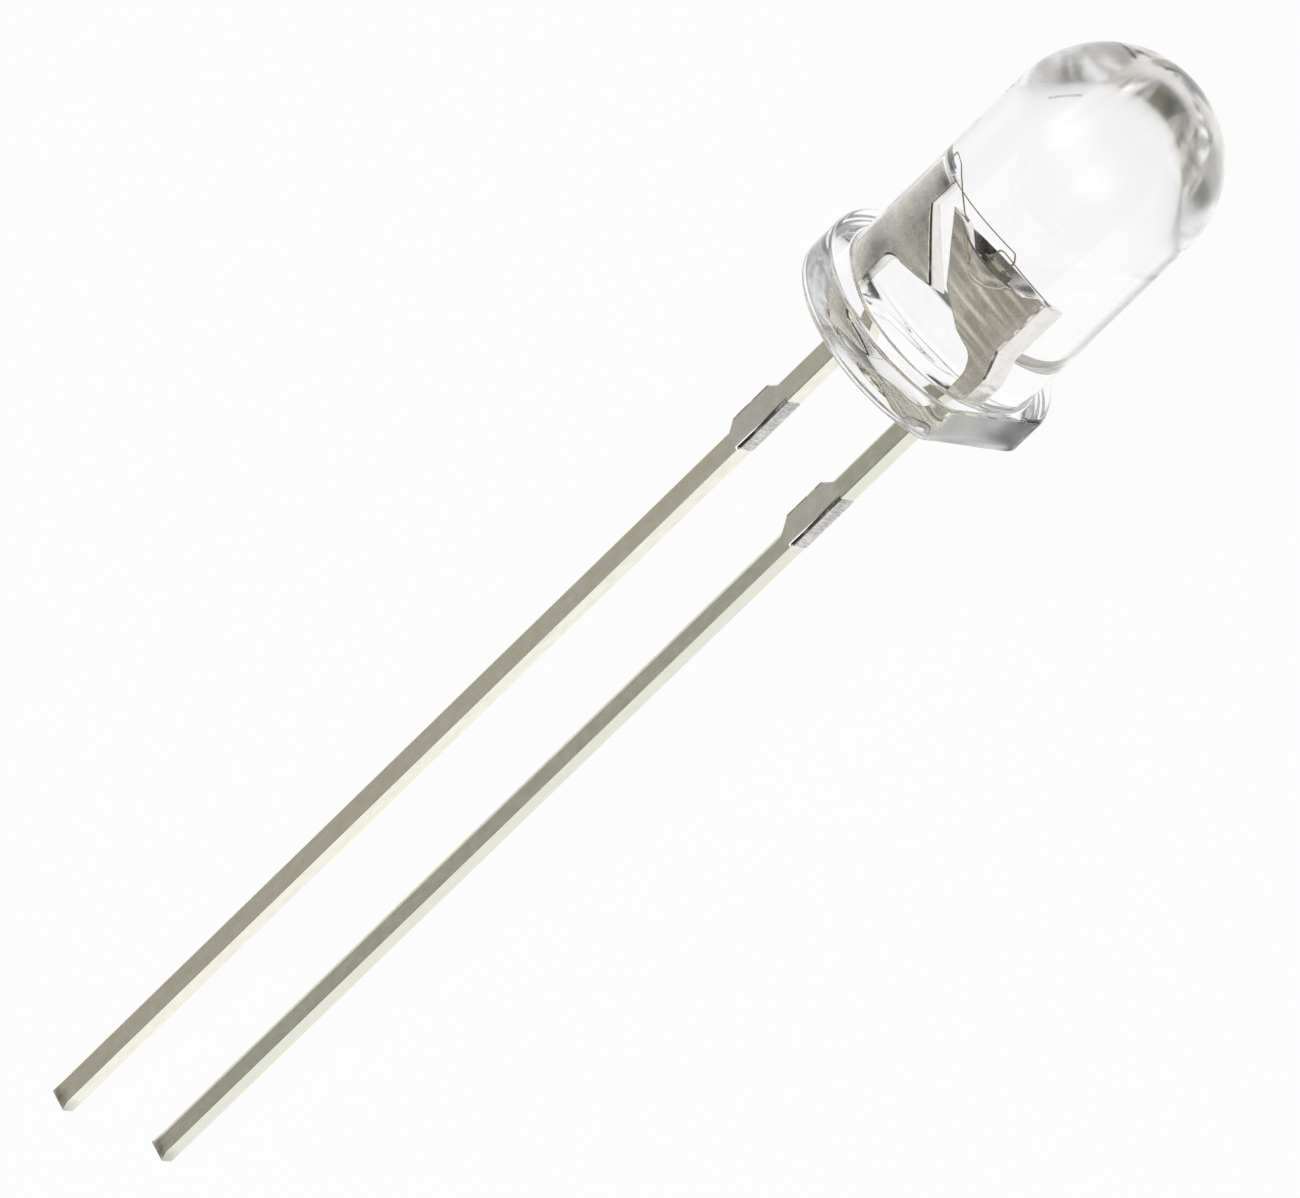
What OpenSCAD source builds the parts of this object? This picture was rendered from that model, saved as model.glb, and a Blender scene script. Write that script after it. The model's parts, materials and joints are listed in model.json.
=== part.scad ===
/* Clear 5 mm through-hole LED, lying on a flat surface as it comes to rest.

   Every piece is drawn in the LED's own drawing frame and then laid down by lie_down():
     drawing X runs from the anode lead to the cathode lead,
     drawing Y runs along the lens axis, from the lead tips to the dome,
     drawing Z is the upper face of the lead frame's sheet,
   with the zero point at the centre of the flange's underside, where the leads come out.
   Lengths are in millimetres. */

/* [Lens] */
// Diameter of the straight lens body
lens_d = 4.86; // [4.7:0.01:5.1]
// Height from the flange's underside to the top of the dome
lens_h = 8.6; // [8.2:0.05:9.4]
// Diameter of the flange
flange_d = 5.87; // [5.5:0.01:6]
// Thickness of the flange
flange_h = 1.0; // [0.8:0.05:1.3]
// Distance from the lens axis to the flat that marks the cathode side
flat_offset = 2.55; // [2.5:0.01:2.7]

/* [Leads] */
// Distance between the centres of the two leads
lead_pitch = 2.54; // [2.4:0.01:2.7]
// Width of each lead
lead_w = 0.46; // [0.4:0.01:0.5]
// Thickness of the sheet that both leads are stamped from
sheet_t = 0.45; // [0.4:0.01:0.5]
// Length of the anode lead below the flange
anode_len = 27; // [25:0.1:29]
// Length of the cathode lead below the flange
cathode_len = 25.4; // [23:0.1:26.5]
// Length of the pinched bevel at each lead tip
tip_bevel = 0.3; // [0.1:0.01:0.4]
// Depth of the pinched bevel at each lead tip
tip_pinch = 0.12; // [0.05:0.01:0.2]
// How far a lead tip spreads on its anode side
tip_spread = 0.08; // [0.02:0.01:0.1]

/* [Stand-off tabs] */
// Distance from the flange to the start of the tabs
tab_start = 3.05; // [2.5:0.05:4]
// Length of a tab from end to end
tab_len = 1.57; // [1.2:0.01:2]
// Length of the slope at each end of a tab
tab_slope = 0.24; // [0.1:0.01:0.4]
// How far a tab stands out on its anode side
tab_out = 0.17; // [0.1:0.01:0.3]
// How far a tab's trimmed side is cut back at the sheet's upper face
trim_back = 0.08; // [0.04:0.01:0.12]
// How far a tab's trimmed side stands out at the sheet's lower face
trim_out = 0.02; // [0.01:0.01:0.06]

/* [Lead frame head] */
// Height of the bonding faces above the flange's underside
head_h = 3.54; // [3.4:0.01:3.9]
// How far the cup's rim lies below the bonding faces
rim_drop = 0.26; // [0.2:0.01:0.32]
// Reach of the anvil past the lens axis, at the rim
anvil_reach = 0.88; // [0.78:0.01:0.95]
// Distance from the lens axis to the anvil's straight outer edge
anvil_edge = 1.24; // [1.2:0.01:1.35]
// Width of the bonding shoulder beside the cup
shoulder_w = 0.22; // [0.16:0.01:0.26]
// Foot of the anvil's slanted edge: distance past the lens axis
toe_x = 0.21; // [0.1:0.01:0.3]
// Foot of the anvil's slanted edge: height above the flange's underside
toe_h = 2.11; // [2.05:0.01:2.2]
// Height where the anvil's underside is lowest before it turns into the leg
anvil_low_h = 1.58; // [1.5:0.01:1.65]
// Height where the cathode leg becomes straight
leg_h = 0.95; // [0.8:0.01:1.1]
// Height where the cathode's outer edge starts to step in
step_low_h = 1.4; // [1.2:0.01:1.6]
// Height where the cathode's outer edge has stepped in
step_high_h = 2.04; // [1.8:0.01:2.2]
// Gap between anvil and post at the height of the rim
slit_top = 0.52; // [0.4:0.01:0.56]
// Gap between anvil and post at the foot of the slanted edge
slit_foot = 0.35; // [0.28:0.01:0.4]
// Width of the post at its top
post_w = 0.41; // [0.36:0.01:0.46]
// Height of the coined edge along the post's top
coin_h = 0.12; // [0.05:0.01:0.15]
// Depth of the coined edge along the post's top
coin_depth = 0.06; // [0.03:0.01:0.07]
// Height of the post's spike above the flange's underside
spike_h = 1.84; // [1.75:0.01:1.9]
// Thickness of the spike at its blunt end
spike_t = 0.09; // [0.04:0.01:0.1]

/* [Reflector cup] */
// Inner diameter of the cup at its rim
cup_d = 1.24; // [1.2:0.01:1.26]
// Diameter of the cup's floor
cup_floor_d = 0.78; // [0.7:0.01:0.84]
// Depth of the cup
cup_depth = 0.25; // [0.2:0.01:0.3]
// Width of the cup's rim
rim_w = 0.05; // [0.03:0.01:0.06]
// Depth of the bulge that the cup raises in the sheet
bulge_depth = 0.8; // [0.6:0.01:0.85]

/* [Dice] */
// Side of the light-emitting die
die_w = 0.34; // [0.3:0.01:0.38]
// Height of the light-emitting die
die_h = 0.2; // [0.15:0.01:0.22]
// Side of the protection diode
diode_w = 0.24; // [0.2:0.01:0.28]
// Height of the protection diode
diode_h = 0.07; // [0.06:0.01:0.14]
// Thickness of the adhesive under a die
attach_h = 0.02; // [0.01:0.005:0.03]
// How far the adhesive spreads past a die's edge
attach_spread = 0.03; // [0.01:0.01:0.05]

/* [Bond wires] */
// Diameter of the bond wires
wire_d = 0.028; // [0.02:0.001:0.035]
// Diameter of a bond at a wire's end
bond_d = 0.075; // [0.06:0.005:0.09]
// Height of a bond at a wire's end
bond_h = 0.03; // [0.025:0.001:0.04]
// Distance that a bond keeps from the nearest edge
bond_margin = 0.01; // [0.005:0.005:0.02]
// Distance of the bonds on the leads from the middle of the sheet
pad_z = 0.08; // [0.06:0.01:0.09]
// Distance of the light-emitting die's bonds from the middle of the sheet
die_pad_z = 0.03; // [0.03:0.005:0.06]
// Height of the anode wire's loop above the bonding faces
anode_loop = 0.18; // [0.16:0.01:0.3]
// Height of the cathode wire's loop above the bonding faces
cathode_loop = 0.03; // [0.02:0.005:0.06]
// Height of the diode wire's loop above the diode
diode_loop = 0.17; // [0.12:0.01:0.25]

/* [Hidden] */
$fn = 96;

CLEAR = [0.86, 0.88, 0.9, 0.35];
TINNED = [0.62, 0.61, 0.57];
GOLD = [0.85, 0.72, 0.42];

past = 1;                        // how far a cutting shape runs past what it cuts
lens_r = lens_d / 2;
flange_r = flange_d / 2;
dome_base = lens_h - lens_r;     // where the straight body ends and the dome begins
flat_half = sqrt(flange_r * flange_r - flat_offset * flat_offset);

lead_x = lead_pitch / 2;         // centre line of a lead
lead_in = lead_x - lead_w / 2;   // edge that faces the other lead
lead_out = lead_x + lead_w / 2;  // edge that faces outwards

rim_h = head_h - rim_drop;        // height of the cup's rim above the flange's underside
rim_r = cup_d / 2 + rim_w;
cup_floor_h = rim_h - cup_depth;
die_top = cup_floor_h + attach_h + die_h;
post_in = -lead_out + post_w;    // edge of the post's top that faces the cup
diode_x = -lead_out + attach_spread + diode_w / 2;
diode_top = head_h + attach_h + diode_h;

// ---- The lens ----

module lens_form() {
    rotate([-90, 0, 0]) rotate_extrude() {
        square([flange_r, flange_h]);
        square([lens_r, dome_base]);
        intersection() {
            translate([0, dome_base]) circle(r = lens_r);
            translate([0, flange_h]) square([lens_r, lens_h]);
        }
    }
}

module flat_cut() {
    translate([flat_offset, -past, -flange_r]) cube([flange_r, flange_h + past, flange_d]);
}

module lens() {
    color(CLEAR) lie_down() difference() {
        lens_form();
        flat_cut();
        anode_form();
        cathode_form();
        die_form();
        die_attach_form();
        diode_form();
        diode_attach_form();
        anode_wire_form();
        cathode_wire_form();
        diode_wire_form();
    }
}

// ---- The leads: flat stampings, each with a stand-off tab and a head inside the lens ----

// Points of a quarter ellipse about centre c with half-axes a, from angle from to angle to
function bend(c, a, from, to, steps = 8) =
    [for (i = [0 : steps])
        let (t = from + (to - from) * i / steps)
        [c[0] + a[0] * cos(t), c[1] + a[1] * sin(t)]];

// Edge of the slit on the anvil's side and on the post's side, at height h
slit_rise = rim_h - toe_h;
function anvil_slit_x(h) = -anvil_reach + (anvil_reach - toe_x) * (rim_h - h) / slit_rise;
function post_slit_x(h) = anvil_slit_x(h) - slit_top + (slit_top - slit_foot) * (rim_h - h) / slit_rise;
// Height where the post's straight inner edge meets the slit
post_slit_fall = anvil_reach - toe_x + slit_top - slit_foot;
post_corner_h = rim_h - slit_rise * (anvil_reach + slit_top + post_in) / post_slit_fall;
post_arch = [-0.86, 1.5];        // where the post's underside ends its arch out of the leg
post_leg_h = 1.2;                // height where the anode leg becomes straight
anvil_belly = [0.36, 1.66];      // where the anvil's underside levels out
nose = [0.15, 0.12];             // run and fall from the slanted edge's foot to the underside
anvil_turn_x = 0.62;             // where the anvil's underside turns down into the leg
band = [0.055, 0.095];           // run and fall of the smooth band on a tab's trimmed side
shoulder_foot = anvil_edge - shoulder_w - rim_drop;

// Outline of the straight part of a lead centred on x: down its right edge and up its left edge
function leg_points(x, len) =
    let (left = x - lead_w / 2, right = x + lead_w / 2, tab_end = tab_start + tab_len)
    [[right, -tab_start], [right + trim_out, -tab_start - trim_out],
     [right + trim_out, -tab_end + trim_out], [right, -tab_end], [right, -len],
     [left - tip_spread, -len], [left, -len + tip_bevel], [left, -tab_end],
     [left - tab_out, -tab_end + tab_slope], [left - tab_out, -tab_start - tab_slope], [left, -tab_start]];

// Outlines of the heads, each from the lead's left edge over the top and down to its right edge
ANVIL = concat(
    bend([anvil_turn_x, leg_h], [lead_in - anvil_turn_x, anvil_low_h - leg_h], 0, 90),
    [anvil_belly, [-toe_x + nose[0], toe_h - nose[1]], [-toe_x, toe_h],
     [-anvil_reach, rim_h], [shoulder_foot, rim_h], [anvil_edge - shoulder_w, head_h],
     [anvil_edge, head_h], [anvil_edge, step_high_h], [lead_out, step_low_h]]);
POST = concat(
    [[-lead_out, head_h], [post_in, head_h], [post_in, post_corner_h], [post_slit_x(spike_h), spike_h],
     [post_slit_x(spike_h) + spike_t / 4, spike_h - spike_t / 2],
     [post_slit_x(spike_h) - spike_t / 2, spike_h - spike_t]],
    bend([post_arch[0], post_leg_h], [lead_in + post_arch[0], post_arch[1] - post_leg_h], 90, 180));

// The trimmed side of a tab leans: it is cut back at the upper face and stands out at the lower.
// The cutter leaves a smooth slanted band under the upper face
module trim_cut(x) {
    right = x + lead_w / 2;
    translate([0, -tab_start, 0]) rotate([90, 0, 0]) linear_extrude(tab_len)
        polygon([[right - trim_back, sheet_t / 2],
                 [right - trim_back + band[0], sheet_t / 2 - band[1]],
                 [right + trim_out, -sheet_t / 2],
                 [right + past, -sheet_t / 2], [right + past, sheet_t / 2 + past],
                 [right - trim_back, sheet_t / 2 + past]]);
}

// The bevel that the cutter leaves on the upper face of a lead's tip
module tip_cut(x, len) {
    translate([x - lead_w, -len, 0]) rotate([90, 0, 90]) linear_extrude(2 * lead_w)
        polygon([[-past, sheet_t / 2 - tip_pinch], [0, sheet_t / 2 - tip_pinch], [tip_bevel, sheet_t / 2],
                 [tip_bevel, sheet_t / 2 + past], [-past, sheet_t / 2 + past]]);
}

module stamped(x, len, head) {
    difference() {
        linear_extrude(sheet_t, center = true) polygon(concat(leg_points(x, len), head));
        trim_cut(x);
        tip_cut(x, len);
    }
}

// The coined edge slopes from the upper face of the sheet to the post's top
module coined_edge() {
    translate([-lead_out - past, head_h, sheet_t / 2]) rotate([90, 0, 90]) linear_extrude(post_w + 2 * past)
        polygon([[0, -coin_depth], [past, -coin_depth], [past, past], [-coin_h, past], [-coin_h, 0]]);
}

module anode_form() {
    difference() {
        stamped(-lead_x, anode_len, POST);
        coined_edge();
    }
}

module cathode_form() {
    difference() {
        union() {
            stamped(lead_x, cathode_len, ANVIL);
            translate([0, rim_h, 0]) rotate([90, 0, 0])
                cylinder(r1 = rim_r, r2 = sheet_t / 4, h = bulge_depth);
        }
        translate([0, cup_floor_h, 0]) rotate([-90, 0, 0]) {
            cylinder(r1 = cup_floor_d / 2, r2 = cup_d / 2, h = cup_depth);
            translate([0, 0, cup_depth]) cylinder(r = cup_d / 2, h = past);
        }
    }
}

module anode_lead() {
    color(TINNED) lie_down() anode_form();
}

module cathode_lead() {
    color(TINNED) lie_down() cathode_form();
}

// ---- The dice and the adhesive under them ----

module die_form() {
    translate([-die_w / 2, cup_floor_h + attach_h, -die_w / 2]) cube([die_w, die_h, die_w]);
}

module die_attach_form() {
    translate([0, cup_floor_h, 0]) rotate([-90, 0, 0])
        cylinder(r = die_w / 2 * sqrt(2) + attach_spread, h = attach_h);
}

module diode_form() {
    translate([diode_x - diode_w / 2, head_h + attach_h, -diode_w / 2]) cube([diode_w, diode_h, diode_w]);
}

module diode_attach_form() {
    side = diode_w + 2 * attach_spread;
    translate([diode_x - side / 2, head_h, -side / 2]) cube([side, attach_h, side]);
}

module led_die() {
    color([0.55, 0.55, 0.3]) lie_down() die_form();
}

module die_attach() {
    color([0.75, 0.75, 0.72]) lie_down() die_attach_form();
}

module protection_diode() {
    color([0.2, 0.2, 0.21]) lie_down() diode_form();
}

module diode_attach() {
    color([0.75, 0.75, 0.72]) lie_down() diode_attach_form();
}

// ---- The bond wires ----

WIRE_SIDES = 8;
CORNER_STEPS = 5;
wire_r = wire_d / 2;
bond_lift = wire_r + 0.001;      // height of the wire's centre where it runs flat into a bond
corner_cut = 0.04;               // length of a wire's straight runs that each rounded corner takes
bond_inset = bond_d / 2 + bond_margin;

// Rounds the corners of an open line: each is cut back by corner_cut and bridged by a parabola
function unit(v) = v / norm(v);
function rounded(line) =
    let (last = len(line) - 1)
    concat([line[0]],
           [for (i = [1 : last - 1])
                let (a = line[i] + unit(line[i - 1] - line[i]) * corner_cut,
                     b = line[i] + unit(line[i + 1] - line[i]) * corner_cut)
                for (s = [0 : CORNER_STEPS])
                    let (t = s / CORNER_STEPS)
                    (1 - t) * (1 - t) * a + 2 * t * (1 - t) * line[i] + t * t * b],
           [line[last]]);

// Sweeps a wire along points that lie in one upright plane, whose level normal is side
module sweep(points, side) {
    last = len(points) - 1;
    rings = [for (i = [0 : last])
        let (ahead = unit(points[min(i + 1, last)] - points[max(i - 1, 0)]),
             up = cross(side, ahead))
        for (k = [0 : WIRE_SIDES - 1])
            let (turn = 360 * (k + 0.5) / WIRE_SIDES)
            points[i] + wire_r * (cos(turn) * side + sin(turn) * up)];
    skin = [for (i = [0 : last - 1], k = [0 : WIRE_SIDES - 1])
        let (here = i * WIRE_SIDES, next = here + WIRE_SIDES, k2 = (k + 1) % WIRE_SIDES)
        each [[here + k, here + k2, next + k2], [here + k, next + k2, next + k]]];
    first_cap = [for (k = [WIRE_SIDES - 1 : -1 : 0]) k];
    last_cap = [for (k = [0 : WIRE_SIDES - 1]) last * WIRE_SIDES + k];
    polyhedron(points = rings, faces = concat([first_cap], skin, [last_cap]));
}

module bond(at) {
    translate(at) rotate([-90, 0, 0]) cylinder(r = bond_d / 2, h = bond_h, $fn = 12);
}

// A wire from a ball bond at from up to the height top, over a turn of the given length and height,
// and down to a flat bond at to, with a level run into that bond
module wire(from, to, top, turn, run_in) {
    plan = [to[0] - from[0], 0, to[2] - from[2]];
    along = unit(plan);
    span = norm(plan);
    landing = to[1] + bond_lift;
    route = [[0, from[1] + bond_h / 2], [0, top - turn[1]], [turn[0], top], [span - run_in, landing],
             [span, landing]];
    place = [from[0], 0, from[2]];
    bond(from);
    bond(to);
    sweep([for (q = rounded(route)) place + along * q[0] + [0, q[1], 0]], cross(along, [0, 1, 0]));
}

pad_x = die_w / 2 - bond_inset;
anode_pad = [pad_x, die_top, -die_pad_z];
cathode_pad = [-pad_x, die_top, die_pad_z];
post_pad = [post_in - bond_inset, head_h, pad_z];
shoulder_pad = [anvil_edge - shoulder_w / 2, head_h, pad_z / 2];
diode_pad = [diode_x, diode_top, -pad_z / 2];
rim_pad = [-rim_r - bond_d, rim_h, -pad_z];

// Length and height of the turn at the top of each loop, and the level run into its second bond
anode_turn = [0.08, 0.15];
cathode_turn = [0.06, 0.06];
diode_turn = [0.12, 0];
head_run = 0.09;
rim_run = 0.05;

module anode_wire_form() {
    wire(anode_pad, post_pad, head_h + anode_loop, anode_turn, head_run);
}

module cathode_wire_form() {
    wire(cathode_pad, shoulder_pad, head_h + cathode_loop, cathode_turn, head_run);
}

module diode_wire_form() {
    wire(diode_pad, rim_pad, diode_top + diode_loop, diode_turn, rim_run);
}

module anode_wire() {
    color(GOLD) lie_down() anode_wire_form();
}

module cathode_wire() {
    color(GOLD) lie_down() cathode_wire_form();
}

module diode_wire() {
    color(GOLD) lie_down() diode_wire_form();
}

// ---- How it lies: on the flange's lower edge and on the lower inner corners of both lead tips ----

len_gap = anode_len - cathode_len;
// Slope of the lens axis for a given cosine of the roll
function rest_slope(roll_cos) =
    (flange_r - sheet_t / 2 * roll_cos) / (anode_len - lead_in * len_gap / lead_pitch);
function rest_roll(slope) = asin(len_gap * slope / lead_pitch);
roll_about_axis = rest_roll(rest_slope(cos(rest_roll(rest_slope(1)))));
rest_tan = rest_slope(cos(roll_about_axis));
axis_rise = atan(rest_tan);

// Place along the surface of a point of the drawing frame
function lying_x(x, y, z) =
    y * cos(axis_rise) + (x * sin(roll_about_axis) - z * cos(roll_about_axis)) * sin(axis_rise);
dome_end = lying_x(0, dome_base, 0) + lens_r;
tip_end = lying_x(-lead_out - tip_spread, -anode_len, sheet_t / 2 - tip_pinch);
flat_side = flat_offset * cos(roll_about_axis) + flat_half * sin(roll_about_axis);

// Lays a piece down with the dome towards +X and the middle of the LED's footprint at the origin
module lie_down() {
    translate([-(dome_end + tip_end) / 2, -(flange_r - flat_side) / 2, flange_r * cos(axis_rise)])
        rotate([0, -axis_rise, 0]) rotate([roll_about_axis, 0, 0]) rotate([0, 0, -90]) children();
}

lens();
anode_lead();
cathode_lead();
led_die();
die_attach();
protection_diode();
diode_attach();
anode_wire();
cathode_wire();
diode_wire();
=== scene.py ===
"""Looks of the clear through-hole LED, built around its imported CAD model. Blender 4.5, metres.

The LED lies on its flange and lead tips. Everything on it is placed in its own drawing frame, as in
the CAD source: X runs from the anode lead to the cathode lead, Y along the lens axis towards the dome,
Z out of the upper face of the lead frame's sheet, and zero is the middle of the flange's underside."""

import json
import math

import bmesh
import bpy
from mathutils import Matrix, Vector


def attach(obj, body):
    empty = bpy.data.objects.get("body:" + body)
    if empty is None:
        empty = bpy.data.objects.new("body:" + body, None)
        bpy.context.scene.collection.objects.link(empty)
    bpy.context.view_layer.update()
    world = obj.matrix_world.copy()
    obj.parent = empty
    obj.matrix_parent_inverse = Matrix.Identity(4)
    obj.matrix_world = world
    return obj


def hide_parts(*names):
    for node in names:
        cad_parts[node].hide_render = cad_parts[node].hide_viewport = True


MM = 0.001
TIP_BAND = 0.01 * MM         # corners this close to a lead's end belong to its tip
LEAD_OFFSET = 1.27           # from the lens axis to a lead's middle, in millimetres

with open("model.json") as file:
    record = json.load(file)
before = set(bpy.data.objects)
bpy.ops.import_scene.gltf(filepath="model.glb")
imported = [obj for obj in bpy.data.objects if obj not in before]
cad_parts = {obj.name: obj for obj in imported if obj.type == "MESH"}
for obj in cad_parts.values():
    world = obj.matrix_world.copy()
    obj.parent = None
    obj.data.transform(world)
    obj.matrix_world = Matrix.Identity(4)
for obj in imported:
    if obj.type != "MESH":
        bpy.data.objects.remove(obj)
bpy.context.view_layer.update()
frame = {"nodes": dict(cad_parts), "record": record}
nodes = frame["nodes"]
mounts = {m["name"]: m for m in frame["record"]["mounts"]}


# ---- The LED's drawing frame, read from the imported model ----

def drawing_frame():
    """Matrix from the drawing frame to the world."""
    seat = mounts["board_seat"]
    origin = Vector(seat["pos_m"])
    y_axis = -Vector(seat["axis"]).normalized()

    def tip(name):
        points = [v.co.copy() for v in nodes[name].data.vertices]
        end = min((c - origin).dot(y_axis) for c in points)
        last = [c for c in points if (c - origin).dot(y_axis) < end + TIP_BAND]
        return sum(last, Vector()) / len(last)

    across = tip("cathode_lead") - tip("anode_lead")
    x_axis = (across - y_axis * across.dot(y_axis)).normalized()
    z_axis = x_axis.cross(y_axis)
    basis = Matrix((x_axis, y_axis, z_axis)).transposed().to_4x4()
    return Matrix.Translation(origin) @ basis


DRAWING = drawing_frame()
TO_DRAWING = DRAWING.inverted()
X_AXIS, Y_AXIS, Z_AXIS = (DRAWING.to_3x3().col[i].copy() for i in range(3))


def drawn_points(name):
    """The corners of a CAD node in the drawing frame."""
    return [TO_DRAWING @ v.co for v in nodes[name].data.vertices]


lens_points = drawn_points("lens")
lens_r = mounts["lens_barrel"]["dims"]["r_mm"] * MM
lens_h = max(c.y for c in lens_points)
flange_r = max(math.hypot(c.x, c.z) for c in lens_points)
flange_h = max(c.y for c in lens_points if math.hypot(c.x, c.z) > (lens_r + flange_r) / 2)
flat_x = max(c.x for c in lens_points)
dome_base = lens_h - lens_r
sheet_t = 2 * max(c.z for c in drawn_points("anode_lead"))
LEAD_X = (-LEAD_OFFSET * MM, LEAD_OFFSET * MM)


# ---- Materials ----

MIX_A, MIX_B, MIX_RESULT = 6, 7, 2       # the colour sockets of a Mix node


class Tree:
    """Adds and links nodes in one node tree."""

    def __init__(self, tree):
        self.tree = tree

    def add(self, kind, inputs=None, **settings):
        node = self.tree.nodes.new("ShaderNode" + kind)
        for label, value in settings.items():
            setattr(node, label, value)
        for label, value in (inputs or {}).items():
            self.feed(node.inputs[label], value)
        return node

    def feed(self, socket, value):
        if isinstance(value, bpy.types.NodeSocket):
            self.tree.links.new(value, socket)
        else:
            socket.default_value = value

    def maths(self, operation, *values):
        node = self.add("Math", operation=operation)
        for socket, value in zip(node.inputs, values):
            self.feed(socket, value)
        return node.outputs["Value"]

    def vectors(self, operation, *values):
        """A step of vector arithmetic; distances and dot products come out as plain numbers."""
        node = self.add("VectorMath", operation=operation)
        for socket, value in zip(node.inputs, values):
            self.feed(socket, value)
        return node.outputs["Value" if operation in ("DISTANCE", "DOT_PRODUCT") else "Vector"]

    def mix_shaders(self, factor, first, second, output):
        """Shows the first shader where the factor is 0 and the second where it is 1."""
        mix = self.add("MixShader", {"Fac": factor})
        self.feed(mix.inputs[1], first)
        self.feed(mix.inputs[2], second)
        self.tree.links.new(mix.outputs["Shader"], self.tree.nodes[output].inputs["Surface"])


class Graph(Tree):
    """The nodes of one material around its Principled shader."""

    def __init__(self, name, **constants):
        self.material = bpy.data.materials.new(name)
        self.material.use_nodes = True
        super().__init__(self.material.node_tree)
        self.shader = self.tree.nodes["Principled BSDF"]
        for label, value in constants.items():
            self.shader.inputs[label.replace("_", " ")].default_value = value

    def drawn(self, stretch=(1, 1, 1)):
        """Place on the LED in millimetres of the drawing frame, scaled along its axes."""
        place = self.add("Attribute", attribute_name="drawn")
        return self.vectors("MULTIPLY", place.outputs["Vector"], stretch)

    def noise(self, where, scale, detail=3, roughness=0.5):
        node = self.add("TexNoise", {"Vector": where, "Scale": scale, "Detail": detail,
                                     "Roughness": roughness})
        return node.outputs["Fac"]

    def spread(self, value, low, high, to_low=0.0, to_high=1.0):
        """Maps a value from low..high to to_low..to_high, held at both ends."""
        node = self.add("MapRange", {"Value": value, "From Min": low, "From Max": high,
                                     "To Min": to_low, "To Max": to_high})
        return node.outputs["Result"]

    def blend(self, factor, a, b):
        """Colour a where the factor is 0 and b where it is 1."""
        node = self.add("Mix", {"Factor": factor}, data_type="RGBA")
        self.feed(node.inputs[MIX_A], a)
        self.feed(node.inputs[MIX_B], b)
        return node.outputs[MIX_RESULT]

    def bump(self, height, strength, distance, onto=None):
        node = self.add("Bump", {"Height": height, "Strength": strength, "Distance": distance})
        if onto:
            self.feed(node.inputs["Normal"], onto)
        return node.outputs["Normal"]

    def blot(self, middle, radius):
        """1 at a place on the LED, falling to 0 at the radius, in millimetres."""
        gap = self.vectors("DISTANCE", self.drawn(), middle)
        return self.spread(gap, radius * 0.3, radius, 1.0, 0.0)

    def stroke(self, start, end, width):
        """1 along a straight line between two places on the LED, 0 at the width from it."""
        run = Vector(end) - Vector(start)
        offset = self.vectors("SUBTRACT", self.drawn(), start)
        share = self.spread(self.vectors("DOT_PRODUCT", offset, run / run.length_squared), 0.0, 1.0)
        nearest = self.add("VectorMath", {"Scale": share}, operation="SCALE")
        nearest.inputs[0].default_value = run
        gap = self.vectors("DISTANCE", offset, nearest.outputs["Vector"])
        return self.spread(gap, width * 0.5, width, 1.0, 0.0)

    def set(self, label, value):
        self.feed(self.shader.inputs[label], value)


RESIN_CLEAR = (0.995, 0.995, 1.0, 1)
MARK_DARK = (0.004, 0.004, 0.003, 1)
DOME_HAZE = 0.15             # roughness that the mould's worn cup leaves on the dome
DOME_FADE = (-0.3, 0.5)      # where that haze begins and is full, above the foot of the dome
FLAT_HAZE = 0.55             # roughness of the polarity flat
FLAT_SKIN = 0.01             # how close to the flat's plane a place counts as on it
MARKS = [                    # ends and width in millimetres, and depth of shade, of marks on the dome
    ((-0.70, 7.02, 2.17), (-0.35, 7.56, 1.96), 0.045, 0.55),
    ((-1.70, 7.88, 0.29), (-1.33, 8.13, 0.46), 0.080, 1.0),
    ((-1.33, 8.13, 0.46), (-0.89, 8.33, 0.66), 0.090, 1.0),
    ((-1.10, 8.31, 0.35), (-0.92, 8.40, 0.26), 0.110, 1.0),
    ((-0.52, 8.54, 0.17), (-0.45, 8.55, -0.21), 0.110, 1.0),
    ((-1.62, 7.64, 1.05), (-1.25, 7.67, 1.40), 0.110, 0.35),
    ((-1.57, 7.36, 1.43), (-1.07, 7.42, 1.79), 0.100, 0.35),
    ((0.99, 8.39, 0.04), (1.20, 8.28, 0.08), 0.080, 0.5),
    ((1.08, 8.30, 0.46), (1.22, 8.24, 0.35), 0.080, 0.5),
]


def clear_epoxy():
    """Water-clear casting resin with the faint waves of the mould and dark marks on the dome."""
    g = Graph("clear_epoxy", Transmission_Weight=1, IOR=1.54)
    waves = g.noise(g.drawn((0.9, 0.5, 0.9)), 1.0, 2)
    specks = g.noise(g.drawn(), 9.0, 2)
    place = g.add("SeparateXYZ", {"Vector": g.drawn()})
    dome_foot = dome_base / MM
    flat = flat_x / MM
    haze = g.maths("ADD",
                   g.spread(place.outputs["Y"], dome_foot + DOME_FADE[0], dome_foot + DOME_FADE[1],
                            0.0, DOME_HAZE),
                   g.spread(place.outputs["X"], flat - FLAT_SKIN, flat, 0.0, FLAT_HAZE))
    marks = 0.0
    for start, end, width, depth in MARKS:
        marks = g.maths("MAXIMUM", g.maths("MULTIPLY", g.stroke(start, end, width), depth), marks)
    broken = g.maths("MULTIPLY", marks, g.spread(specks, 0.35, 0.5, 0.45, 1.0))
    g.set("Base Color", g.blend(broken, RESIN_CLEAR, MARK_DARK))
    g.set("Roughness", g.maths("ADD", g.spread(specks, 0.45, 0.8, 0.0, 0.03), haze))
    g.set("Normal", g.bump(waves, 0.2, 0.03 * MM))
    return g.material


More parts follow.
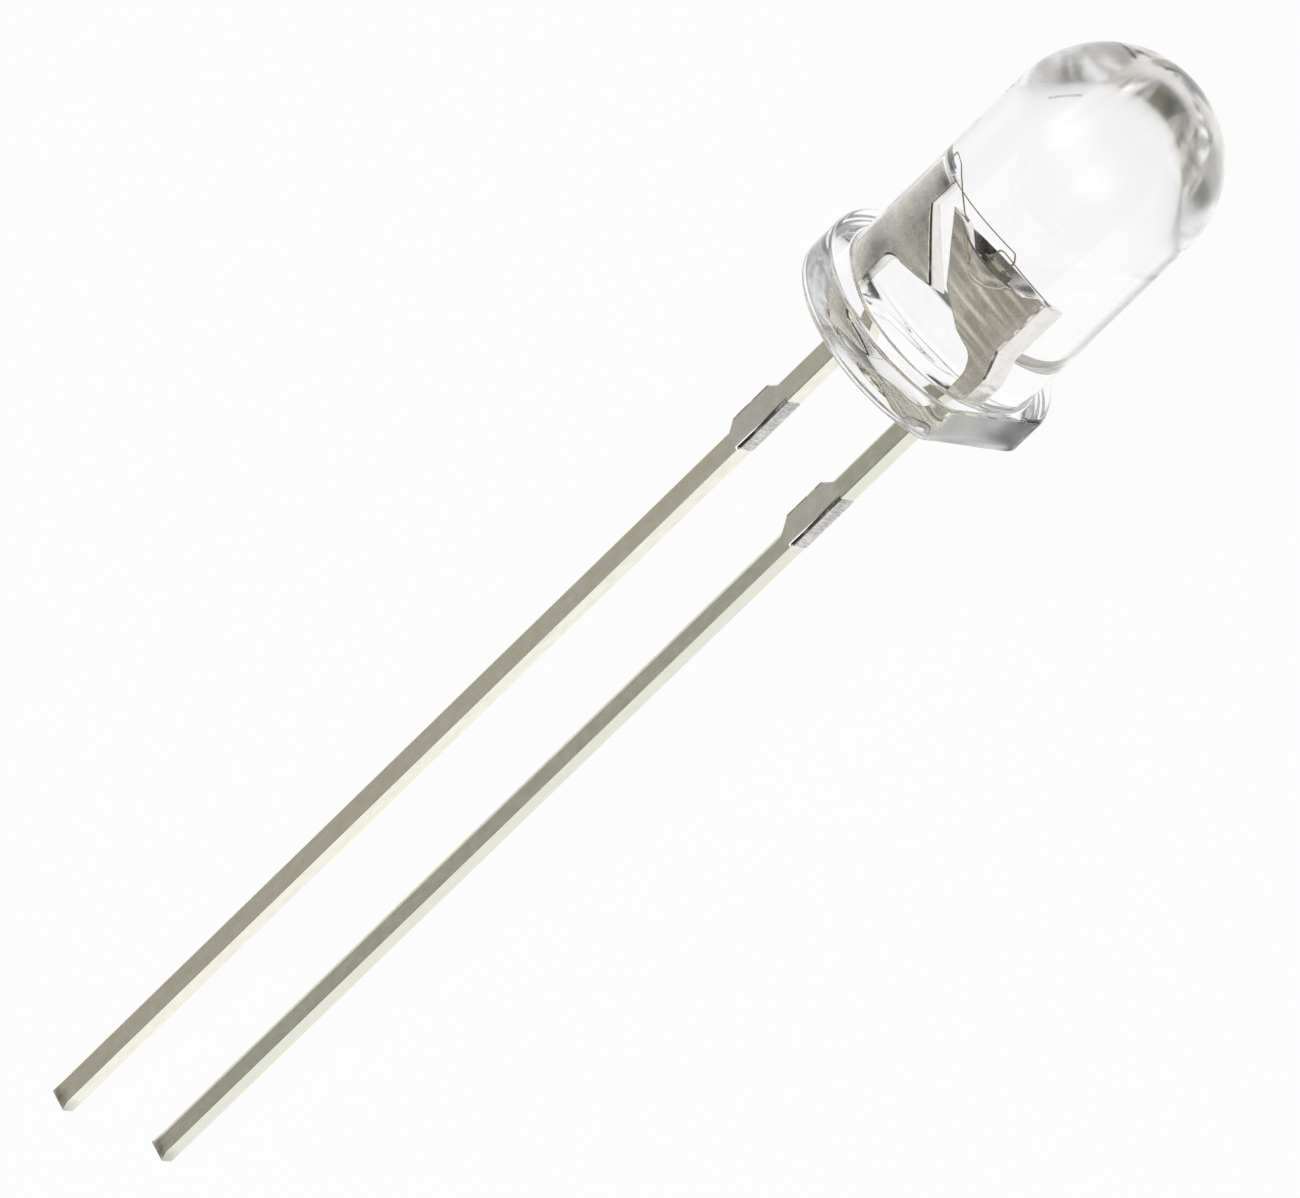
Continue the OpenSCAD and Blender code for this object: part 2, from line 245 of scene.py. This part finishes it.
TIN = (0.95, 0.935, 0.90, 1)             # pressed tin on the tabs
TIN_SIDES = (0.92, 0.90, 0.86, 1)        # the heads' sides, under the resin
TIN_FRONT_SHADED = (0.72, 0.68, 0.585, 1)       # their stamped faces, painted darker than the sides as shade
TIN_DIPPED = (0.94, 0.93, 0.80, 1)       # the leads' dipped ends, a little yellow
TIN_DIPPED_SHADED = (0.81, 0.82, 0.70, 1)         # the cathode's dipped end, painted darker as shade
TIN_WORN = (0.80, 0.79, 0.73, 1)         # patches rubbed thin
TIN_TORN = (0.55, 0.54, 0.51, 1)         # pits, and steel laid bare where the sheet tore
SHADE_AND_DARK_MARKS = (0.05, 0.045, 0.04, 1)            # painted shadow and dark reflections on the heads' edges, the tabs' band, the cup's lip and the post; also the dark along the tabs' plain edges and round the cut tips
HEAD_FOOT = (0.3, 1.2)                   # heights between which the dipped end passes into the head
SHEET_FACE = (0.20, 0.222)               # from the sheet's middle to its rounded edge and to its upper face
LIP_SHADOW_SPAN = (0.24, 0.3)                    # from the sheet's middle to where the painted shadow on the cup's lip begins and is full
RIPPLE = 0.016                           # height in millimetres of the waves stamped across the heads
RIPPLES = 0.8                            # how close they follow each other
CUP_RIM = 3.28                           # height of the reflector cup's rim
TAB_LOW, TAB_HIGH = -4.62, -3.05         # where the stand-off tabs begin and end along the leads
TAB_EDGE = 0.40                          # from a lead's middle to the plain side of its tab
DARK_SPOTS = [                               # middle and radius of the dark spots: two of painted dark reflection on the post, then both cut tips, darker there
    ((-1.08, 0.85, 0.225), 0.45),
    ((-1.10, 3.30, 0.225), 0.30),
    ((-LEAD_OFFSET, -27.0, 0.1), 0.5),
    ((LEAD_OFFSET, -25.4, 0.1), 0.5),
]


def tinned_steel():
    """Bright tin plate, drawn along the lead, mottled where it was pressed and torn where it was sheared,
    with painted shade, shadow and dark reflections on its fronts, edges, cup lip, post and the cathode's
    dipped end.
    """
    g = Graph("tinned_steel", Metallic=1)
    place = g.add("SeparateXYZ", {"Vector": g.drawn()})
    height = place.outputs["Y"]
    inside = g.spread(height, *HEAD_FOOT)
    tab = g.maths("MULTIPLY", g.spread(height, TAB_LOW - 0.1, TAB_LOW + 0.05),
                  g.spread(height, TAB_HIGH - 0.05, TAB_HIGH + 0.1, 1.0, 0.0))
    streaks = g.noise(g.drawn((1, 0.04, 1)), 22, 4, 0.6)
    mottle = g.noise(g.drawn((1, 0.55, 1)), 5, 5, 0.65)
    pits = g.noise(g.drawn(), 26, 3, 0.6)
    tear = g.noise(g.drawn((1, 1, 0.35)), 18, 4, 0.7)
    ripple = g.add("TexWave", {"Vector": g.drawn((0.25, 1, 1)), "Scale": RIPPLES, "Distortion": 7.0,
                               "Detail": 2.0, "Detail Scale": 1.6}, bands_direction="Y").outputs["Fac"]
    ripple = g.maths("MULTIPLY", ripple, g.spread(place.outputs["X"], -0.9, 0.5, 0.1, 1.0))
    torn = g.add("Attribute", attribute_name="torn").outputs["Fac"]
    band = g.add("Attribute", attribute_name="band").outputs["Fac"]

    # Colour: dipped and plain tin with painted shade on the cathode's end and the heads' fronts, worn
    # patches, pits, the tabs' torn sides, painted dark reflection on edges, darker tab edges, painted shadow
    # on the cup's lip, painted dark reflection on the post and darker cut tips
    # The cathode's dipped end is painted darker as shade.
    dipped = g.blend(g.spread(place.outputs["X"], -0.1, 0.1), TIN_DIPPED, TIN_DIPPED_SHADED)
    # The heads' stamped fronts are painted darker than their sides as shade.
    heads = g.blend(g.spread(place.outputs["Z"], *SHEET_FACE), TIN_SIDES, TIN_FRONT_SHADED)
    colour = g.blend(tab, g.blend(inside, dipped, heads), TIN)
    worn = g.spread(g.maths("ADD", g.maths("MULTIPLY", mottle, 0.6), g.maths("MULTIPLY", streaks, 0.4)),
                    0.42, 0.62, 0.0, 0.5)
    colour = g.blend(worn, colour, TIN_WORN)
    colour = g.blend(g.maths("MULTIPLY", g.spread(pits, 0.62, 0.74, 0.0, 0.6), tab), colour, TIN_TORN)
    colour = g.blend(g.maths("MULTIPLY", g.spread(tear, 0.35, 0.6), torn), colour, TIN_TORN)
    # Painted dark reflection on the heads' rounded edges and the tabs' smooth band.
    colour = g.blend(g.maths("MULTIPLY", band, g.spread(mottle, 0.3, 0.5, 0.6, 0.95)), colour, SHADE_AND_DARK_MARKS)
    # Darker along the tabs' plain side edges, in a mottled line.
    from_edge = g.maths("SUBTRACT", g.maths("ABSOLUTE", g.maths("ADD", place.outputs["X"], TAB_EDGE)),
                        LEAD_OFFSET)
    edge = g.spread(g.maths("ABSOLUTE", from_edge), 0.02, 0.07, 1.0, 0.0)
    edge = g.maths("MULTIPLY", g.maths("MULTIPLY", edge, tab), g.spread(mottle, 0.40, 0.52, 0.0, 0.9))
    colour = g.blend(edge, colour, SHADE_AND_DARK_MARKS)
    # Painted shadow on the cup's lip.
    lip_shadow = g.maths("MULTIPLY", g.spread(height, CUP_RIM - 0.05, CUP_RIM - 0.03),
                  g.spread(place.outputs["Z"], *LIP_SHADOW_SPAN))
    colour = g.blend(g.maths("MULTIPLY", lip_shadow, 0.85), colour, SHADE_AND_DARK_MARKS)
    # Painted dark reflection round two places on the post; the same darkening round both cut tips.
    dark_spot = 0.0
    for middle, radius in DARK_SPOTS:
        dark_spot = g.maths("MAXIMUM", g.blot(middle, radius), dark_spot)
    colour = g.blend(g.maths("MULTIPLY", dark_spot, g.spread(mottle, 0.3, 0.6, 0.85, 0.4)), colour, SHADE_AND_DARK_MARKS)
    g.set("Base Color", colour)

    rough = g.spread(mottle, 0.35, 0.7, 0.2, 0.34)
    g.set("Roughness", g.maths("ADD", rough, g.maths("MULTIPLY", torn, 0.16)))
    normal = g.bump(g.maths("MULTIPLY", streaks, g.spread(inside, 0.0, 1.0, 1.0, 0.2)), 0.25, 0.004 * MM)
    normal = g.bump(mottle, 0.25, 0.012 * MM, normal)
    normal = g.bump(g.maths("MULTIPLY", tear, torn), 0.8, 0.03 * MM, normal)
    normal = g.bump(g.maths("MULTIPLY", ripple, inside), 1.0, RIPPLE * MM, normal)
    g.set("Normal", normal)
    return g.material


def gold_wire():
    """Drawn gold, a little dulled by the resin around it."""
    g = Graph("gold_wire", Metallic=1)
    grain = g.noise(g.drawn(), 40, 2)
    g.set("Base Color", g.blend(grain, (0.52, 0.47, 0.34, 1), (0.34, 0.31, 0.25, 1)))
    g.set("Roughness", g.spread(grain, 0.3, 0.7, 0.22, 0.4))
    return g.material


CRYSTAL_SHADED = (0.05, 0.05, 0.03, 1)     # its end towards the anode, painted dark as shade
CRYSTAL_GREY = (0.30, 0.30, 0.26, 1)     # its end towards the cathode


def led_crystal():
    """The olive crystal of the light-emitting die, with the sawn striations on its sides and painted shade
    darkening its end towards the anode.
    """
    g = Graph("led_crystal", Specular_IOR_Level=0.8)
    cloud = g.noise(g.drawn(), 9, 3)
    side = g.add("SeparateXYZ", {"Vector": g.drawn()}).outputs["X"]
    saw = g.noise(g.drawn((6, 1, 6)), 10, 2)
    olive = g.blend(cloud, (0.30, 0.30, 0.12, 1), (0.52, 0.51, 0.27, 1))
    # Painted shade: the crystal darkens towards its end at the anode.
    olive = g.blend(g.spread(side, -0.08, 0.0, 0.85, 0.0), olive, CRYSTAL_SHADED)
    g.set("Base Color", g.blend(g.spread(side, 0.12, 0.17, 0.0, 0.8), olive, CRYSTAL_GREY))
    g.set("Roughness", g.spread(saw, 0.3, 0.7, 0.1, 0.3))
    g.set("Normal", g.bump(saw, 0.3, 0.004 * MM))
    return g.material


def silver_adhesive():
    """Silver-filled epoxy: flakes in a dull binder."""
    g = Graph("silver_adhesive", Metallic=0.7)
    flakes = g.add("TexVoronoi", {"Vector": g.drawn(), "Scale": 60.0}).outputs["Color"]
    level = g.add("RGBToBW", {"Color": flakes}).outputs["Val"]
    g.set("Base Color", g.blend(level, (0.42, 0.42, 0.41, 1), (0.75, 0.75, 0.73, 1)))
    g.set("Roughness", g.spread(level, 0.0, 1.0, 0.35, 0.6))
    g.set("Normal", g.bump(level, 0.4, 0.005 * MM))
    return g.material


def silicon():
    """Dark polished silicon with sawn edges."""
    g = Graph("silicon", Specular_IOR_Level=0.9)
    saw = g.noise(g.drawn((1, 8, 1)), 12, 3)
    g.set("Base Color", g.blend(saw, (0.025, 0.026, 0.03, 1), (0.10, 0.10, 0.105, 1)))
    g.set("Roughness", g.spread(saw, 0.3, 0.7, 0.15, 0.4))
    g.set("Normal", g.bump(saw, 0.3, 0.003 * MM))
    return g.material


# ---- Mesh helpers ----

def mark_drawn(mesh):
    """Stores each corner's place in the drawing frame, in millimetres, for the materials."""
    layer = mesh.attributes.new("drawn", "FLOAT_VECTOR", "POINT")
    for item, vertex in zip(layer.data, mesh.vertices):
        item.vector = (TO_DRAWING @ vertex.co) / MM


def add_piece(name, mesh, material, node=None):
    """Adds a piece of the LED; node names the CAD solid that it stands for."""
    mark_drawn(mesh)
    piece = bpy.data.objects.new(name, mesh)
    bpy.context.scene.collection.objects.link(piece)
    mesh.materials.clear()
    mesh.materials.append(material)
    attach(piece, "root")
    if node:
        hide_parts(node)
    return piece


def mesh_from(bm, name, smooth=True):
    """Turns a bmesh in the drawing frame into a mesh in the world."""
    bmesh.ops.recalc_face_normals(bm, faces=bm.faces)
    bm.transform(DRAWING)
    mesh = bpy.data.meshes.new(name)
    bm.to_mesh(mesh)
    bm.free()
    for face in mesh.polygons:
        face.use_smooth = smooth
    return mesh


def arc(centre, radius, start, stop, steps):
    """Points (radius, height) of an arc about centre, angles in degrees, both ends included."""
    points = []
    for i in range(steps + 1):
        angle = math.radians(start + (stop - start) * i / steps)
        points.append((centre[0] + radius * math.cos(angle), centre[1] + radius * math.sin(angle)))
    return points


# ---- The lens ----

FOOT_EDGE = 0.09 * MM        # radius of the flange's lower edge
BRIM_EDGE = 0.10 * MM        # radius of the flange's upper edge
ROOT_FILLET = 0.08 * MM      # fillet between the flange and the straight body
FLAT_BLEND = 90              # how sharply the flat meets the round of the flange
DISH = 0.49 * MM             # how far the resin sank in the middle of the underside as it cured
WICK_REACH = 0.22 * MM       # how far from a lead it still climbs back along it
UNEVEN = 0.006 * MM          # waves left on the underside, which no mould touched
DISH_POWER = 3               # the dish's depth falls with this power of the distance from the axis
TURN_STEPS = 144             # points round the lens, before those that the flat's corners add
UNDER_RINGS = 30             # rings across the underside
DOME_STEPS = 40              # rings up the dome


def lens_profile():
    """Half section of the lens from the middle of the underside to the top of the dome."""
    points = [(0, 0)]
    points += [(flange_r * k / UNDER_RINGS, 0) for k in range(1, UNDER_RINGS - 1)]
    points += arc((flange_r - FOOT_EDGE, FOOT_EDGE), FOOT_EDGE, -90, 0, 5)
    points += arc((flange_r - BRIM_EDGE, flange_h - BRIM_EDGE), BRIM_EDGE, 0, 90, 8)
    points += arc((lens_r + ROOT_FILLET, flange_h + ROOT_FILLET), ROOT_FILLET, 270, 180, 6)
    points += [(lens_r, flange_h + (dome_base - flange_h) * i / 6) for i in range(1, 6)]
    points += arc((0, dome_base), lens_r, 0, 90, DOME_STEPS)[:-1]
    points.append((0, lens_h))
    return points


def lens_angles():
    """Angles about the lens axis, closer together where the flat ends."""
    corner = math.acos(flat_x / flange_r)
    angles = {2 * math.pi * k / TURN_STEPS for k in range(TURN_STEPS)}
    for side in (-1, 1):
        for k in range(-8, 9):
            angles.add((side * corner + math.radians(0.6 * k)) % (2 * math.pi))
    return sorted(angles)


def flange_edge(angle):
    """Distance from the axis to the side of the flange, with the flat on the cathode side."""
    if math.cos(angle) <= 0.1:
        return flange_r
    flat = flat_x / flange_r / math.cos(angle)
    return flange_r * (1 + flat ** -FLAT_BLEND) ** (-1 / FLAT_BLEND)


def ring_radius(radius, height, angle):
    """Distance from the axis of a point of the half section when it is turned to this angle."""
    if radius > flange_r - BRIM_EDGE - 0.001 * MM:
        return flange_edge(angle) - flange_r + radius
    if height == 0:
        return radius * flange_edge(angle) / flange_r
    return radius


def underside(x, z):
    """Height of the free surface of the resin on the underside, where no mould shaped it."""
    across = math.hypot(x, z) / flange_r
    height = DISH * max(0.0, 1 - across ** DISH_POWER)
    for lead_x in LEAD_X:
        gap = math.hypot(max(abs(x - lead_x) - sheet_t / 2, 0), max(abs(z) - sheet_t / 2, 0))
        height -= DISH * math.exp(-gap / WICK_REACH)
    fade = max(0.0, 1 - across ** 6)
    a, b = x / MM, z / MM
    waves = (math.sin(4.1 * a + 1.3 * b) + math.sin(2.3 * b - 3.1 * a + 1.0)
             + math.sin(5.3 * b + 0.7 * a + 2.0))
    return height + UNEVEN * waves * fade


def lens_shell():
    """Closed outer form of the casting, with rounded edges and the polarity flat."""
    bm = bmesh.new()
    angles = lens_angles()
    rings = []
    for radius, height in lens_profile():
        if radius == 0:
            rings.append([bm.verts.new((0, height if height > 0 else underside(0, 0), 0))])
            continue
        ring = []
        for angle in angles:
            away = ring_radius(radius, height, angle)
            x, z = away * math.cos(angle), away * math.sin(angle)
            free = height == 0 and radius < flange_r - FOOT_EDGE
            ring.append(bm.verts.new((x, underside(x, z) if free else height, z)))
        rings.append(ring)
    count = len(angles)
    for low, high in zip(rings, rings[1:]):
        for k in range(count):
            following = (k + 1) % count
            if len(low) == 1:
                bm.faces.new((low[0], high[k], high[following]))
            elif len(high) == 1:
                bm.faces.new((low[k], high[0], low[following]))
            else:
                bm.faces.new((low[k], high[k], high[following], low[following]))
    return mesh_from(bm, "lens_shell")


# ---- The leads ----

WIDEST = 0.17 * MM           # the widest rounding; the others are shares of it
ROUNDING = {"anode_lead": 0.06 * MM, "cathode_lead": WIDEST}    # plain upper edge of each lead
ROLLOVER = 0.05 * MM         # the other edges of the upper face, pulled in by the punch
CRISP = 0.012 * MM           # all the rest
CUTS = (0.0, 0.5 * MM)       # between these heights the rounding changes from the lead's to the head's
TAB_SPAN = (-4.7 * MM, -3 * MM)          # the tabs with their slopes
CUP_SPAN = (-0.34 * MM, 1.15 * MM)       # the reflector cup and its bulge, from side to side
SHARP_TURN = math.radians(35)            # edges whose faces turn less than this aren't rounded
BEVEL_STEPS = 4                          # faces across each rounding
STRAIGHT_EDGE = 0.3          # how strong the painted dark reflection is on the heads' straight rounded edges, beside the slanted ones


def edge_rounding(edge, lead):
    """Radius of one edge of a lead, by where it lies and which faces it parts."""
    if len(edge.link_faces) != 2 or not edge.is_convex or edge.calc_face_angle() < SHARP_TURN:
        return 0
    normals = [f.normal for f in edge.link_faces]
    middle = (edge.verts[0].co + edge.verts[1].co) / 2
    if max(n.z for n in normals) < 0.9:
        return CRISP
    side = min(normals, key=lambda n: abs(n.z))
    plain = ROLLOVER
    if side.x > 0.5:
        plain = CRISP
    elif side.x < -0.9 and not TAB_SPAN[0] < middle.y < TAB_SPAN[1]:
        plain = ROUNDING[lead]
    share = min(max(middle.y / CUTS[1], 0), 1)
    return plain + (ROLLOVER - plain) * share


def stamped_lead(name):
    """The CAD lead with coplanar faces joined and each edge's rounding written on it as a bevel weight."""
    bm = bmesh.new()
    bm.from_mesh(nodes[name].data)
    bm.transform(TO_DRAWING)
    bmesh.ops.remove_doubles(bm, verts=bm.verts, dist=1e-8)
    bmesh.ops.dissolve_limit(bm, angle_limit=math.radians(0.3), verts=bm.verts, edges=bm.edges)
    for cut in CUTS:
        everything = bm.verts[:] + bm.edges[:] + bm.faces[:]
        bmesh.ops.bisect_plane(bm, geom=everything, dist=1e-7, plane_co=(0, cut, 0), plane_no=(0, 1, 0))
    weight = bm.edges.layers.float.new("bevel_weight_edge")
    for edge in bm.edges:
        edge[weight] = edge_rounding(edge, name) / WIDEST
    return mesh_from(bm, name + "_dressed")


def rounded(mesh):
    """The mesh with its weighted edges rounded and its flat faces shaded flat."""
    source = bpy.data.objects.new("source", mesh)
    bpy.context.scene.collection.objects.link(source)
    bevel = source.modifiers.new("edges", "BEVEL")
    bevel.limit_method = "WEIGHT"
    bevel.width = WIDEST
    bevel.segments = BEVEL_STEPS
    bevel.use_clamp_overlap = False
    source.modifiers.new("shading", "WEIGHTED_NORMAL").weight = 100
    result = bpy.data.meshes.new_from_object(source.evaluated_get(bpy.context.evaluated_depsgraph_get()))
    bpy.data.objects.remove(source)
    return result


def mark_torn_and_dark_reflection(mesh):
    """Marks the tabs' torn faces for the material, and where it paints a dark reflection: the tabs' smooth
    band and the heads' rounded edges.
    """
    torn = mesh.attributes.new("torn", "FLOAT", "FACE")
    band = mesh.attributes.new("band", "FLOAT", "FACE")
    for face in mesh.polygons:
        middle = TO_DRAWING @ face.center
        normal = TO_DRAWING.to_3x3() @ face.normal
        on_cup = CUP_SPAN[0] < middle.x < CUP_SPAN[1]
        # Painted dark reflection on the heads' rounded edges that face the cathode side.
        if normal.x > 0.3 and middle.y > 0.6 * MM and 0.1 < normal.z < 0.9 and not on_cup:
            band.data[face.index].value = 1.0 if abs(normal.y) > 0.1 else STRAIGHT_EDGE
        elif normal.x > 0.5 and TAB_LOW < middle.y / MM < TAB_HIGH and normal.z > 0.02:
            torn.data[face.index].value = 1.0 if normal.z < 0.45 else 0.0
            # Painted dark reflection on the tabs' smooth band.
            band.data[face.index].value = 1.0 if 0.45 < normal.z < 0.55 else 0.0


# ---- Making the pieces ----

EPOXY = clear_epoxy()
TINNED = tinned_steel()
GOLD = gold_wire()
CRYSTAL = led_crystal()
ADHESIVE = silver_adhesive()
SILICON = silicon()

add_piece("lens_shell", lens_shell(), EPOXY, "lens")
for lead in ("anode_lead", "cathode_lead"):
    dressed = rounded(stamped_lead(lead))
    mark_torn_and_dark_reflection(dressed)
    add_piece(lead + "_dressed", dressed, TINNED, lead)

KEPT = {"led_die": CRYSTAL, "die_attach": ADHESIVE, "protection_diode": SILICON, "diode_attach": ADHESIVE,
        "anode_wire": GOLD, "cathode_wire": GOLD, "diode_wire": GOLD}
for name, material in KEPT.items():
    mark_drawn(nodes[name].data)
    nodes[name].data.materials.clear()
    nodes[name].data.materials.append(material)


# ---- Camera ----

VIEW_TURN = math.radians(30.5)     # from the sheet's normal towards the cathode side
VIEW_TILT = math.radians(28.0)     # from there towards the dome
VIEW_ROLL = math.radians(44.15)    # how far the lens axis rises in the frame
VIEW_DISTANCE = 500 * MM
VIEW_AIM = -8.33 * MM              # the point looked at, along the lens axis
VIEW_SHIFT = -0.062 * MM           # and across it
FOCAL_LENGTH = 674           # in millimetres, on a sensor 36 mm wide
VIEW_END = 10                # how far the camera sees, in metres

level = Z_AXIS * math.cos(VIEW_TURN) + X_AXIS * math.sin(VIEW_TURN)
to_camera = Y_AXIS * math.sin(VIEW_TILT) + level * math.cos(VIEW_TILT)
along = Y_AXIS * math.cos(VIEW_TILT) - level * math.sin(VIEW_TILT)
across = X_AXIS * math.cos(VIEW_TURN) - Z_AXIS * math.sin(VIEW_TURN)
right = along * math.cos(VIEW_ROLL) + across * math.sin(VIEW_ROLL)
up = along * math.sin(VIEW_ROLL) - across * math.cos(VIEW_ROLL)
camera_data = bpy.data.cameras.new("camera")
camera_data.lens = FOCAL_LENGTH
camera_data.sensor_width = 36
camera_data.clip_end = VIEW_END
camera = bpy.data.objects.new("camera", camera_data)
bpy.context.scene.collection.objects.link(camera)
aim = DRAWING.translation + Y_AXIS * VIEW_AIM + across * VIEW_SHIFT
turned = Matrix((right, up, to_camera)).transposed().to_4x4()
camera.matrix_world = Matrix.Translation(aim + to_camera * VIEW_DISTANCE) @ turned
bpy.context.scene.camera = camera


# ---- Floor, world and lamps ----

FLOOR_HALF = 3.0             # in metres
FLOOR_GREY = (0.9, 0.9, 0.9, 1)
FLOOR_WHITE = 0.95           # share of plain white in what the camera sees of the floor; the rest is lit
BOUNCES = 24                 # enough for the paths inside the lens
GLOSSY_BOUNCES = 12


def white_share(tree):
    """How white the floor is to a ray: nearly to the camera, fully in glass and metal, else lit."""
    path = tree.add("LightPath")
    share = tree.maths("MULTIPLY", path.outputs["Is Camera Ray"], FLOOR_WHITE)
    for label in ("Is Glossy Ray", "Is Transmission Ray"):
        share = tree.maths("MAXIMUM", share, path.outputs[label])
    return share


def add_floor():
    """A white sheet that shows nearly white and still takes the object's shadow."""
    size = FLOOR_HALF
    mesh = bpy.data.meshes.new("floor")
    mesh.from_pydata([(-size, -size, 0), (size, -size, 0), (size, size, 0), (-size, size, 0)], [],
                     [(0, 1, 2, 3)])
    sheet = Graph("floor", Base_Color=FLOOR_GREY, Roughness=1.0, Specular_IOR_Level=0.0)
    white = sheet.add("Emission")
    sheet.mix_shaders(white_share(sheet), sheet.shader.outputs["BSDF"], white.outputs["Emission"],
                      "Material Output")
    mesh.materials.append(sheet.material)
    floor = bpy.data.objects.new("floor", mesh)
    bpy.context.scene.collection.objects.link(floor)


def towards(azimuth, elevation):
    """Unit vector to a place on the sky, from angles in degrees."""
    a, e = math.radians(azimuth), math.radians(elevation)
    return (math.cos(e) * math.cos(a), math.cos(e) * math.sin(a), math.sin(e))


# Soft lights of the studio: azimuth and elevation of the middle, sharpness, and colour there
LIGHTS = [
    (100, 3, 28, (0.20, 0.17, 0.10)),
    (120, 3, 28, (0.60, 0.60, 0.64)),
    (105, 24, 16, (0.24, 0.23, 0.24)),
    (135, 24, 16, (0.12, 0.08, 0.07)),
    (165, 24, 16, (0.38, 0.36, 0.32)),
    (90, 50, 12, (0.28, 0.27, 0.22)),
    (135, 50, 12, (0.15, 0.15, 0.12)),
    (270, 50, 12, (2.10, 2.12, 2.06)),
    (60, 76, 12, (2.16, 2.18, 2.30)),
]
WALLS = 0.33                 # glow of the studio's walls at the horizon
WALLS_FALL = 14              # how fast it fades towards the dark ceiling


def light_studio():
    """A dim studio with pale walls; the camera itself sees only white behind the floor."""
    world = bpy.data.worlds.new("studio")
    world.use_nodes = True
    bpy.context.scene.world = world
    sky = Tree(world.node_tree)
    background = sky.tree.nodes["Background"]
    direction = sky.add("TexCoord").outputs["Generated"]
    height = sky.add("SeparateXYZ", {"Vector": direction}).outputs["Z"]
    square = sky.maths("MULTIPLY", height, height)
    glow = sky.maths("EXPONENT", sky.maths("MULTIPLY_ADD", square, -WALLS_FALL, math.log(WALLS)))
    for azimuth, elevation, sharpness, colour in LIGHTS:
        facing = sky.vectors("DOT_PRODUCT", direction, towards(azimuth, elevation))
        level = sky.maths("EXPONENT", sky.maths("MULTIPLY_ADD", facing, sharpness, -sharpness))
        glow = sky.vectors("MULTIPLY_ADD", level, colour, glow)
    sky.feed(background.inputs["Color"], glow)
    plain = sky.add("Background", {"Color": (1, 1, 1, 1)})
    camera_ray = sky.add("LightPath").outputs["Is Camera Ray"]
    sky.mix_shaders(camera_ray, background.outputs["Background"], plain.outputs["Background"],
                    "World Output")


add_floor()
light_studio()
scene = bpy.context.scene
scene.view_settings.view_transform = "Standard"
scene.cycles.max_bounces = BOUNCES
scene.cycles.transmission_bounces = BOUNCES
scene.cycles.glossy_bounces = GLOSSY_BOUNCES
